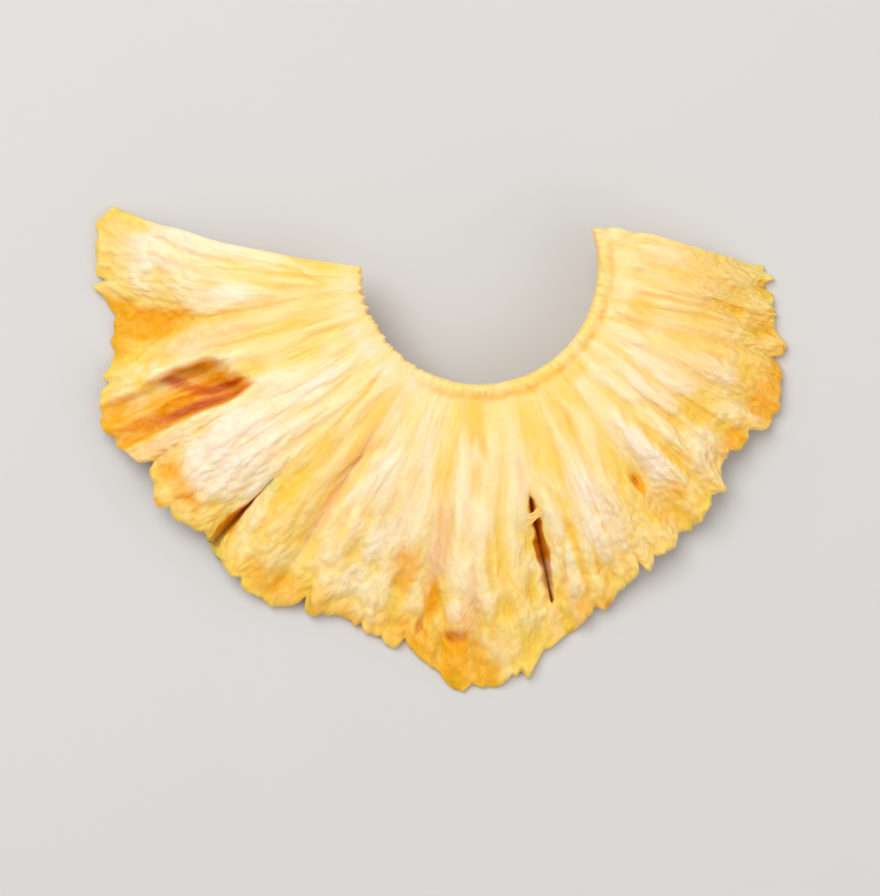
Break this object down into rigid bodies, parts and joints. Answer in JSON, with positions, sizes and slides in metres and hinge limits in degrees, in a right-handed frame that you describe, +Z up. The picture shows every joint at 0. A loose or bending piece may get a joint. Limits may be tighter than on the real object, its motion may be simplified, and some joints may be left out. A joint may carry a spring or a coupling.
{
  "type": "dried pineapple half ring",
  "caption": "Half ring of dried pineapple with a cored middle, ruffled fibrous flesh, a seed hollow and a torn outer edge, lying domed side up.",
  "frame": {"origin": "middle of the bounding box, on the table that the slice rests on", "axes": "+Z up, with the shown side up; +X from the torn left arm to the right arm; +Y towards the straight cut that halved the ring"},
  "size_m": [0.0816, 0.057, 0.0101],
  "materials": {
    "dried_flesh": "satin, fibrous dried fruit flesh, cream to golden yellow with orange hollows"
  },
  "bodies": {
    "root": {"pineapple_slice": "dried_flesh"}
  },
  "joints": []
}
